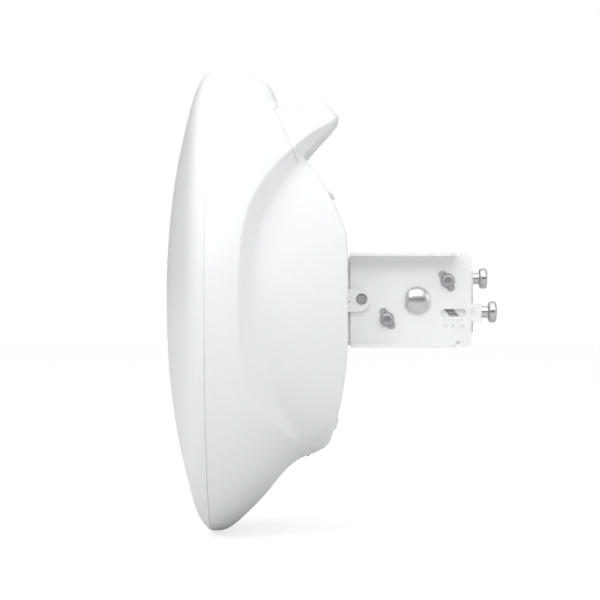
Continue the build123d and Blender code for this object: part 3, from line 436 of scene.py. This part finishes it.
def skin_piece(name, net, field, prepare, keep, wall, slot, body, *nodes, seam_edge=False, sink=0):
    """Cut a piece out of a skin, and give it its wall thickness and its rims.

    seam_edge turns the front rim into half of the radome's groove; sink lowers the whole piece.
    """
    points, quads = net
    work = bmesh.new()
    verts = [work.verts.new(p) for p in points]
    for quad in quads:
        work.faces.new([verts[i] for i in quad])
    prepare(work)
    gone = [f for f in work.faces if not keep(f.calc_center_median())]
    bmesh.ops.delete(work, geom=gone, context="FACES")
    bmesh.ops.remove_doubles(work, verts=work.verts[:], dist=0.05)
    bmesh.ops.delete(work, geom=[v for v in work.verts if not v.link_faces], context="VERTS")
    work.verts.ensure_lookup_table()
    work.verts.index_update()
    outer = np.array([v.co for v in work.verts])
    normals, _ = gradient(field, outer)
    rim = [[v.index for v in (loop.vert, loop.link_loop_next.vert)]
           for f in work.faces for loop in f.loops if len(loop.edge.link_faces) == 1]
    faces = [[v.index for v in f.verts] for f in work.faces]
    work.free()
    n = len(outer)
    outer = outer - normals * sink
    inner = outer - normals * wall
    if seam_edge:
        at_seam = outer[:, 0] < SEAM_X + 0.05
        inner[at_seam, 0] = SEAM_X
        radial = outer[at_seam] * (0, 1, 1)
        radial /= np.linalg.norm(radial, axis=1)[:, None]
        outer[at_seam] -= radial * GROOVE_DEPTH
        inner[at_seam, 1:] = (outer[at_seam] - radial * (wall - GROOVE_DEPTH))[:, 1:]
    data = bpy.data.meshes.new(name)
    everything = (faces + [[i + n for i in reversed(f)] for f in faces]
                  + [[b, a, a + n, b + n] for a, b in rim])
    data.from_pydata(np.concatenate((outer, inner)) * MM, [], everything)
    data.polygons.foreach_set("use_smooth", [True] * len(everything))
    data.update()
    face_normals = np.zeros(len(everything) * 3)
    data.polygons.foreach_get("normal", face_normals)
    face_normals = face_normals.reshape(-1, 3)
    custom = []
    for number, face in enumerate(everything):
        if number < len(faces):
            custom.extend(normals[face])
        elif number < 2 * len(faces):
            custom.extend(-normals[np.array(face) - n])
        else:
            custom.extend([face_normals[number]] * 4)
    data.normals_split_custom_set([tuple(v) for v in custom])
    link(name, data, slot, body, *nodes)


# ---- materials ----
def material(name, colour, roughness, metallic=0.0, coat=0.0, specular=0.5, grain=1500.0, bump=0.03,
             mottle=0.02, cloud=18.0, stretch=(1, 1, 1), rough_span=0.06, edge=0.0):
    """Principled surface with a fine grain in its relief, a slow drift in its tone and its gloss."""
    made = bpy.data.materials.new(name)
    made.use_nodes = True
    nodes, links = made.node_tree.nodes, made.node_tree.links
    shader = nodes["Principled BSDF"]
    shader.inputs["Metallic"].default_value = metallic
    shader.inputs["Specular IOR Level"].default_value = specular
    shader.inputs["Coat Weight"].default_value = coat
    shader.inputs["Coat Roughness"].default_value = 0.12
    place = nodes.new("ShaderNodeTexCoord")
    scale = nodes.new("ShaderNodeMapping")
    scale.inputs["Scale"].default_value = stretch
    links.new(place.outputs["Object"], scale.inputs["Vector"])
    fine = nodes.new("ShaderNodeTexNoise")
    fine.inputs["Scale"].default_value = grain
    fine.inputs["Detail"].default_value = 3
    slow = nodes.new("ShaderNodeTexNoise")
    slow.inputs["Scale"].default_value = cloud
    slow.inputs["Detail"].default_value = 4
    links.new(scale.outputs["Vector"], fine.inputs["Vector"])
    links.new(place.outputs["Object"], slow.inputs["Vector"])
    tone = nodes.new("ShaderNodeMix")
    tone.data_type = "RGBA"
    dark = [c * (1 - mottle) for c in colour]
    light = [min(c * (1 + mottle), 1) for c in colour]
    tone.inputs["A"].default_value = (*dark, 1)
    tone.inputs["B"].default_value = (*light, 1)
    links.new(slow.outputs["Fac"], tone.inputs["Factor"])
    links.new(tone.outputs["Result"], shader.inputs["Base Color"])
    gloss = nodes.new("ShaderNodeMapRange")
    gloss.inputs["To Min"].default_value = roughness - rough_span
    gloss.inputs["To Max"].default_value = roughness + rough_span
    links.new(fine.outputs["Fac"], gloss.inputs["Value"])
    links.new(gloss.outputs["Result"], shader.inputs["Roughness"])
    relief = nodes.new("ShaderNodeBump")
    relief.inputs["Strength"].default_value = bump
    relief.inputs["Distance"].default_value = 0.0002
    links.new(fine.outputs["Fac"], relief.inputs["Height"])
    if edge:
        bevel = nodes.new("ShaderNodeBevel")
        bevel.samples = 4
        bevel.inputs["Radius"].default_value = edge
        links.new(bevel.outputs["Normal"], relief.inputs["Normal"])
    links.new(relief.outputs["Normal"], shader.inputs["Normal"])
    return made


materials = {
    "moulded_white": material("moulded_white", (0.86, 0.865, 0.87), 0.34, grain=2600, bump=0.05,
                              mottle=0.006, rough_span=0.05),
    "radome_white": material("radome_white", (0.865, 0.868, 0.872), 0.3, grain=2200, bump=0.03,
                             mottle=0.006, rough_span=0.04),
    "black_rubber": material("black_rubber", (0.02, 0.02, 0.022), 0.7, grain=900, bump=0.2, mottle=0.2),
    "grey_plastic": material("grey_plastic", (0.72, 0.73, 0.74), 0.5, grain=1400, bump=0.1, edge=0.0004),
    "dark_plastic": material("dark_plastic", (0.03, 0.03, 0.035), 0.45, grain=1400, bump=0.1, edge=0.0002),
    "lens_plastic": material("lens_plastic", (0.85, 0.83, 0.78), 0.35, grain=800, bump=0.04, edge=0.0003),
    "board": material("board", (0.015, 0.16, 0.06), 0.35, coat=0.3, grain=260, bump=0.15, mottle=0.25,
                      cloud=120),
    "pad": material("pad", (0.36, 0.42, 0.52), 0.8, grain=700, bump=0.2, mottle=0.08),
    "ceramic": material("ceramic", (0.7, 0.66, 0.58), 0.5, grain=900, bump=0.08, mottle=0.05),
    "stainless": material("stainless", (0.6, 0.6, 0.61), 0.28, metallic=1, grain=500,
                          stretch=(1, 6, 1), bump=0.06, edge=0.0002),
    "tinned_steel": material("tinned_steel", (0.68, 0.68, 0.68), 0.3, metallic=1, grain=300,
                             stretch=(8, 1, 1), bump=0.05, mottle=0.06, edge=0.0002),
    "zinc": material("zinc", (0.46, 0.46, 0.47), 0.46, metallic=1, grain=420, bump=0.12, mottle=0.16,
                     cloud=260, edge=0.0003),
    "polished_steel": material("polished_steel", (0.56, 0.56, 0.56), 0.22, metallic=1, grain=900,
                               stretch=(1, 1, 9), bump=0.02, mottle=0.03, rough_span=0.03, edge=0.0004),
    "turned_steel": material("turned_steel", (0.6, 0.6, 0.6), 0.3, metallic=1, grain=900,
                             stretch=(1, 1, 9), bump=0.02, mottle=0.03, rough_span=0.04),
    "spun_aluminium": material("spun_aluminium", (0.78, 0.78, 0.79), 0.3, metallic=1, grain=240,
                               stretch=(12, 1, 1), bump=0.06),
    "cast_aluminium": material("cast_aluminium", (0.55, 0.55, 0.56), 0.5, metallic=1, grain=600,
                               bump=0.3, mottle=0.08, edge=0.0004),
    "brass_nut": material("brass_nut", (0.62, 0.46, 0.2), 0.3, metallic=1, grain=400, bump=0.08,
                          mottle=0.08, edge=0.0003),
    "white_paint": material("white_paint", (0.87, 0.872, 0.875), 0.42, grain=1100, bump=0.16,
                            mottle=0.01, rough_span=0.08, edge=0.0005),
    "scale_mark": material("scale_mark", (0.6, 0.6, 0.6), 0.6, grain=900, bump=0.1),
}
slot_of = {part["node"]: part["material_slot"] for part in frame["record"]["subparts"]}
for node, piece in frame["nodes"].items():
    piece.data.materials.clear()
    piece.data.materials.append(materials[slot_of[node]])

# ---- moulded skins ----
shell_net, hood_net = surface_net(shell_skin), surface_net(hood_skin)
COVER_HOLE = ((COVER_FRONT, FAR), (-COVER_Y - SEAM_GAP, COVER_Y + SEAM_GAP),
              (COVER_Z[0] - SEAM_GAP, COVER_Z[1] + SEAM_GAP))
COVER_EDGE = ((COVER_FRONT, FAR), (-COVER_Y, COVER_Y), COVER_Z)
DOOR_HOLE = ((DOOR_FRONT - SEAM_GAP, FAR), (-DOOR_Y - SEAM_GAP, DOOR_Y + SEAM_GAP), (-FAR, DOOR_HOLE_TOP))
DOOR_EDGE = ((DOOR_FRONT, FAR), (-DOOR_Y, DOOR_Y), (-FAR, DOOR_EDGE_TOP))
GROMMET_HOLE = (GROMMET_X, (-GROMMET_Y, GROMMET_Y), (-FAR, GROMMET_TOP))
SHELL_HOLES = (COVER_HOLE, DOOR_HOLE, GROMMET_HOLE)
shell_seam, hood_seam = seam_lines(0), seam_lines(HOOD_GAP)
flange_front, flange_rear = (seam_lines(grow) for grow in FLANGE_SPAN)


def prepare_shell(work):
    """Cut the radome's seam and groove, the holes and the hood's seam into the body's skin."""
    cut(work, (SEAM_X, 0, 0), (1, 0, 0), ((SEAM_X - 4, SEAM_X + 4), (-FAR, FAR), (-FAR, FAR)))
    cut(work, (SEAM_X + GROOVE_WIDTH, 0, 0), (1, 0, 0),
        ((SEAM_X - 4, SEAM_X + 5), (-FAR, FAR), (-FAR, FAR)))
    for hole in SHELL_HOLES:
        cut_box(work, *hole)
    cut_seam(work, shell_seam)


def keep_shell(point):
    """True on the skin that the housing keeps."""
    return (point.x > SEAM_X and not behind_seam(point, shell_seam)
            and not any(inside_box(point, *hole) for hole in SHELL_HOLES))


skin_piece("housing_shell", shell_net, shell_skin, prepare_shell, keep_shell, WALL,
           "moulded_white", "dish_body", "main_housing", seam_edge=True)
skin_piece("hood_shell", hood_net, hood_skin, lambda work: cut_seam(work, hood_seam),
           lambda point: behind_seam(point, hood_seam), WALL,
           "moulded_white", "dish_body", "hood")


def prepare_flange(work):
    """Cut out the strip that closes the gap under the front edge of the hood."""
    cut_seam(work, flange_front)
    cut_seam(work, flange_rear)


skin_piece("hood_flange", hood_net, hood_skin, prepare_flange,
           lambda point: behind_seam(point, flange_front) and not behind_seam(point, flange_rear),
           FLANGE_WALL, "moulded_white", "dish_body", sink=FLANGE_SINK)
skin_piece("rear_cover_shell", shell_net, shell_skin, lambda work: cut_box(work, *COVER_EDGE),
           lambda point: inside_box(point, *COVER_EDGE), WALL,
           "moulded_white", "dish_body", "rear_cover")
skin_piece("port_door_shell", shell_net, shell_skin, lambda work: cut_box(work, *DOOR_EDGE),
           lambda point: inside_box(point, *DOOR_EDGE), DOOR_WALL,
           "moulded_white", "door", "port_door")


# places a point of a turned profile, along its axis and across it, in x, y and z
AXES = {"x": lambda a, u, v: (a, u, v), "y": lambda a, u, v: (u, a, v)}


def lathe(work, profile, around, centre, segments=64):
    """Revolve (along, radius) points about an axis through centre, in millimetres.

    A radius of 0 closes at a point. A radius given as ("hex", size) is a hexagon, size across flats.
    """
    rings = []
    angles = np.linspace(0, 2 * math.pi, segments, endpoint=False)
    for along, radius in profile:
        if isinstance(radius, tuple):
            radii = radius[1] / 2 / np.cos((angles + math.pi / 6) % (math.pi / 3) - math.pi / 6)
        elif radius < 1e-6:
            radii = [0]
        else:
            radii = [radius] * segments
        rings.append([work.verts.new([c + p for c, p in zip(centre, AXES[around](
            along, r * math.cos(a), r * math.sin(a)))]) for r, a in zip(radii, angles)])
    for a, b in zip(rings, rings[1:]):
        for i in range(segments):
            j = (i + 1) % segments
            corner = [a[i % len(a)], a[j % len(a)], b[j % len(b)], b[i % len(b)]]
            face = [v for n, v in enumerate(corner) if v not in corner[:n]]
            if len(face) > 2:
                work.faces.new(face)


def flatten(work, point, normal):
    """Cut the mesh by a plane, drop what lies beyond it and close the cut."""
    made = bmesh.ops.bisect_plane(work, geom=work.verts[:] + work.edges[:] + work.faces[:], dist=1e-4,
                                  plane_co=point, plane_no=normal, clear_outer=True)
    edges = [e for e in made["geom_cut"] if isinstance(e, bmesh.types.BMEdge)]
    bmesh.ops.contextual_create(work, geom=edges)


def piece_of(name, work, slot, body, *nodes, sharp=35, finish=None):
    """Turn a mesh in the making, in millimetres, into a finished piece."""
    bmesh.ops.recalc_face_normals(work, faces=work.faces[:])
    bmesh.ops.scale(work, vec=(MM, MM, MM), verts=work.verts[:])
    data = bpy.data.meshes.new(name)
    work.to_mesh(data)
    work.free()
    smooth_by_angle(data, sharp)
    link(name, data, slot, body, *nodes, finish=finish)


def mirrored(work, axis):
    """Add the mirror image of the mesh across the origin plane of an axis."""
    copy = bmesh.ops.duplicate(work, geom=work.verts[:] + work.edges[:] + work.faces[:])["geom"]
    scale = [1, 1, 1]
    scale[axis] = -1
    bmesh.ops.scale(work, vec=scale, verts=[g for g in copy if isinstance(g, bmesh.types.BMVert)])


def rounded(corner, start, end, steps=6):
    """Points of a quarter round from start to end, about the corner between them."""
    points = []
    for t in np.linspace(0, math.pi / 2, steps):
        points.append(tuple(c - (c - s) * (1 - math.sin(t)) - (c - e) * (1 - math.cos(t))
                            for c, s, e in zip(corner, start, end)))
    return points


# ---- radome ----
along = np.concatenate(([0], np.cumsum(np.hypot(*np.diff(RADOME, axis=0).T))))
end_slope = 1 / math.hypot(1, RIM_RISE)
at = np.linspace(0, along[-1], 72)
dome = np.stack((cubic(along, RADOME[:, 0], at, (0, end_slope)),
                 cubic(along, RADOME[:, 1], at, (1, RIM_RISE * end_slope))), axis=1)
front_x, groove_x = RADOME[0, 0], SEAM_X - GROOVE_WIDTH
outside = [(front_x, 0)] + [tuple(p) for p in dome[1:-1]]
outside += [(groove_x, float(np.interp(groove_x, *dome.T))), (SEAM_X, SEAM_R - GROOVE_DEPTH)]
lining = [(front_x + RADOME_WALL, 0)]
lining += [(x + RADOME_WALL, r * (SEAM_R - RADOME_WALL) / SEAM_R) for x, r in dome[1:-2]]
lining.append((SEAM_X, SEAM_R - RADOME_WALL))
work = bmesh.new()
lathe(work, outside + lining[::-1], "x", (0, 0, 0), segments=240)
piece_of("radome_shell", work, "radome_white", "dish_body", "radome", sharp=40)

# ---- pins, bolts and screws ----
PIVOT_X, AZIMUTH_X, BRACKET_Y = -50.9, -25.0, 60.0
LOCKS = ((-26.6, -16.4), (26.5, 17.3))
PIN_R, PIN_END, HEAD_R, HEAD_BACK, HEAD_FLATS = 6.0, -54.7, 11.5, -60.2, 20.2
CROWN_BALL, CROWN_TOP, CROWN_R = 17.8, -66.2, 10.9
crown = [(CROWN_TOP + CROWN_BALL - math.sqrt(CROWN_BALL**2 - r * r), r)
         for r in np.linspace(CROWN_R, 0, 16)]
work = bmesh.new()
lathe(work, [(PIN_END, 0), (PIN_END, PIN_R), (HEAD_BACK, PIN_R), (HEAD_BACK, HEAD_R - 0.3),
             (HEAD_BACK - 0.3, HEAD_R), (crown[0][0] + 0.5, HEAD_R), *crown],
      "y", (PIVOT_X, 0, 0), segments=96)
for side in (-1, 1):
    flatten(work, (PIVOT_X + side * HEAD_FLATS / 2, 0, 0), (side, 0, 0))
mirrored(work, 1)
piece_of("pivot_heads", work, "polished_steel", "yoke_body", "pivot_pins", sharp=30, finish="turned_steel")

# shank, button head and hexagon socket: (y, radius)
LOCK_BOLT = (
    (-49.2, 0), (-49.2, 2.95), (-61.3, 2.95), (-61.3, 5.35), (-61.6, 5.65), (-63.4, 5.65), (-64.4, 5.45),
    (-65.2, 4.9), (-65.7, 4.1), (-65.9, 3.3), (-65.8, ("hex", 4.9)), (-63.0, ("hex", 4.6)), (-62.7, 0),
)
work = bmesh.new()
for x, z in LOCKS:
    lathe(work, LOCK_BOLT, "y", (PIVOT_X + x, 0, z), segments=48)
mirrored(work, 1)
piece_of("lock_bolt_heads", work, "zinc", "yoke_body", "lock_bolts", sharp=28)

SHANK_R, KNOB_R, KNOB_LENGTH, KNOB_ROUND = 5.2, 9.25, 7, 2.2
COLLARS, COLLAR_RISE, COLLAR_LENGTH = (-9.4, 7.4), 1.4, 2


def knob_screw(name, tip, head, y, z, trunnion_x, body, node):
    """Plain shank with two collars, and a round knob with a hexagon socket in its end."""
    shank, knob, bend, end = SHANK_R, KNOB_R, KNOB_ROUND, head + KNOB_LENGTH
    profile = [(tip, 0), (tip, shank - 0.8), (tip + 0.8, shank)]
    for offset in COLLARS:
        start, rim = trunnion_x + offset, shank + COLLAR_RISE
        stop = start + COLLAR_LENGTH
        profile += [(start, shank), (start, rim - 0.2), (start + 0.2, rim),
                    (stop - 0.2, rim), (stop, rim - 0.2), (stop, shank)]
    profile += [(head - 0.6, shank), (head, shank + 0.6), (head, knob - bend)]
    profile += rounded((head, knob), (head, knob - bend), (head + bend, knob))
    profile += rounded((end, knob), (end - bend, knob), (end, knob - bend))
    profile += [(end, 4.0), (end - 0.4, ("hex", 6.6)), (end - 4, ("hex", 6.4)), (end - 4.4, 0)]
    work = bmesh.new()
    lathe(work, profile, "x", (0, y, z), segments=60)
    piece_of(name, work, "polished_steel", body, node, sharp=32)


knob_screw("elevation_knob_screw", -62, 12.5, -42.0, -10.3, PIVOT_X, "elevation_knob", "elevation_screw")
knob_screw("azimuth_knob_screw", -36, 10.6, 40.0, 19.9, AZIMUTH_X, "azimuth_knob", "azimuth_screw")

# ---- elevation scale on the near cheek ----
MARK = 0.06                 # height of the printed marks
TICKS = ((-27.1, 3.1), (-23.3, 2.4), (-19.5, 3.1), (-15.7, 2.4), (-11.9, 3.1))  # x, length
TICK_FOOT, INDEX_X = -18.6, -2.6
NUMBERS, NUMBER_FOOT, NUMBER_SIZE = (("10", -26.5), ("0", -19.6), ("10", -12.0)), -24.1, 4.6


def bar(work, x, z, width, height, turn=0):
    """Thin raised bar on the cheek's face, centred at x and z."""
    made = bmesh.ops.create_cube(work, size=1)["verts"]
    bmesh.ops.scale(work, vec=(width, MARK, height), verts=made)
    bmesh.ops.rotate(work, cent=(0, 0, 0), verts=made,
                     matrix=Matrix.Rotation(turn, 3, "Y"))
    bmesh.ops.translate(work, vec=(x, -BRACKET_Y - MARK / 2 + 0.01, z), verts=made)


work = bmesh.new()
for x, tall in TICKS:
    bar(work, x, TICK_FOOT + tall / 2, 0.5, tall)
# index: a triangle over a bar
bar(work, INDEX_X, -11.6, 4.6, 0.45)
for side in (-1, 1):
    bar(work, INDEX_X + side * 0.95, -8.3, 0.4, 4.1, turn=-side * math.radians(27))
bar(work, INDEX_X, -10.1, 4.2, 0.4)
piece_of("scale_marks", work, "white_paint", "dish_body", finish="scale_mark")

for number, (digits, x) in enumerate(NUMBERS):
    letters = bpy.data.curves.new(f"scale_number_{number}", "FONT")
    letters.body = digits
    letters.size = NUMBER_SIZE * MM
    letters.extrude = MARK / 2 * MM
    letters.align_x = "CENTER"
    label = bpy.data.objects.new(letters.name, letters)
    label.location = (x * MM, (-BRACKET_Y - MARK / 2) * MM, NUMBER_FOOT * MM)
    label.rotation_euler = (math.pi / 2, 0, 0)
    bpy.context.scene.collection.objects.link(label)
    letters.materials.append(materials["scale_mark"])
    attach(label, "dish_body")

# ---- camera, floor, light: metres from here on ----
FLOOR_Z, FLOOR_HALF = cad_box[0][2] - 0.0002, 9
camera_data = bpy.data.cameras.new("camera")
camera = bpy.data.objects.new("camera", camera_data)
bpy.context.scene.collection.objects.link(camera)
camera.location = (-0.1535, -2.150, 0.0003)
camera.rotation_euler = (math.pi / 2, 0, 0)
camera_data.lens = 143.33
camera_data.sensor_width = 36
camera_data.clip_end = 60
bpy.context.scene.camera = camera

floor_data = bpy.data.meshes.new("floor")
floor_data.from_pydata([(x * FLOOR_HALF, y * FLOOR_HALF, FLOOR_Z)
                        for x, y in ((-1, -1), (1, -1), (1, 1), (-1, 1))], [], [(0, 1, 2, 3)])
floor = bpy.data.objects.new("floor", floor_data)
bpy.context.scene.collection.objects.link(floor)
floor_material = material("floor", (0.71, 0.71, 0.71), 0.45, specular=0.15, grain=400, bump=0.02,
                          mottle=0.01)
floor_data.materials.append(floor_material)
# the object is lit by a matt floor, and the camera sees a nearly white one with the shadow on it
tree = floor_material.node_tree
ray = tree.nodes.new("ShaderNodeLightPath")
seen_floor = tree.nodes.new("ShaderNodeBsdfDiffuse")
seen_floor.inputs["Color"].default_value = (0.38, 0.38, 0.38, 1)
glow = tree.nodes.new("ShaderNodeEmission")
glow.inputs["Strength"].default_value = 0.72
both = tree.nodes.new("ShaderNodeAddShader")
choice = tree.nodes.new("ShaderNodeMixShader")
tree.links.new(seen_floor.outputs["BSDF"], both.inputs[0])
tree.links.new(glow.outputs["Emission"], both.inputs[1])
tree.links.new(ray.outputs["Is Camera Ray"], choice.inputs["Fac"])
tree.links.new(tree.nodes["Principled BSDF"].outputs["BSDF"], choice.inputs[1])
tree.links.new(both.outputs["Shader"], choice.inputs[2])
tree.links.new(choice.outputs["Shader"], tree.nodes["Material Output"].inputs["Surface"])


def area_light(name, place, target, size, power):
    """Rectangular light at a place, turned to its target."""
    data = bpy.data.lights.new(name, "AREA")
    data.shape = "RECTANGLE"
    data.size, data.size_y = size
    data.energy = power
    light = bpy.data.objects.new(name, data)
    light.location = place
    light.rotation_euler = (Vector(target) - Vector(place)).to_track_quat("-Z", "Y").to_euler()
    bpy.context.scene.collection.objects.link(light)


CENTRE = (-0.15, 0, 0)
area_light("overhead", (-0.15, -0.2, 1.7), CENTRE, (2.4, 2.0), 12.4)
area_light("front", (-0.15, -1.5, 1.25), CENTRE, (2.4, 1.0), 11.9)
area_light("left", (-1.7, -0.4, 1.7), CENTRE, (1.2, 1.2), 11.5)
area_light("right", (2.2, -0.9, 0.6), CENTRE, (1.2, 1.4), 7.8)
area_light("strip", (-1.35, -1.6, 1.2), (-0.2, 0, 0.1), (0.25, 1.1), 3)

# the object is lit by and mirrors a studio with a dark horizon, and the camera sees plain white
world = bpy.data.worlds.new("studio")
bpy.context.scene.world = world
world.use_nodes = True
nodes, links = world.node_tree.nodes, world.node_tree.links
background = nodes["Background"]
sky = nodes.new("ShaderNodeTexCoord")
split = nodes.new("ShaderNodeSeparateXYZ")
links.new(sky.outputs["Generated"], split.inputs["Vector"])
ramp = nodes.new("ShaderNodeValToRGB")
height = nodes.new("ShaderNodeMapRange")
height.inputs["From Min"].default_value = -1
links.new(split.outputs["Z"], height.inputs["Value"])
links.new(height.outputs["Result"], ramp.inputs["Fac"])
STUDIO = ((0.0, 0.6), (0.495, 0.6), (0.505, 0.12), (0.59, 0.14), (0.71, 0.74), (1.0, 0.8))
while len(ramp.color_ramp.elements) < len(STUDIO):
    ramp.color_ramp.elements.new(0.5)
for element, (place, tone) in zip(ramp.color_ramp.elements, STUDIO):
    element.position = place
    element.color = (tone, tone, tone, 1)
seen = nodes.new("ShaderNodeLightPath")
plain = nodes.new("ShaderNodeMix")
plain.data_type = "RGBA"
plain.inputs["B"].default_value = (1, 1, 1, 1)
links.new(ramp.outputs["Color"], plain.inputs["A"])
links.new(seen.outputs["Is Camera Ray"], plain.inputs["Factor"])
links.new(plain.outputs["Result"], background.inputs["Color"])
bpy.context.scene.view_settings.view_transform = "Standard"
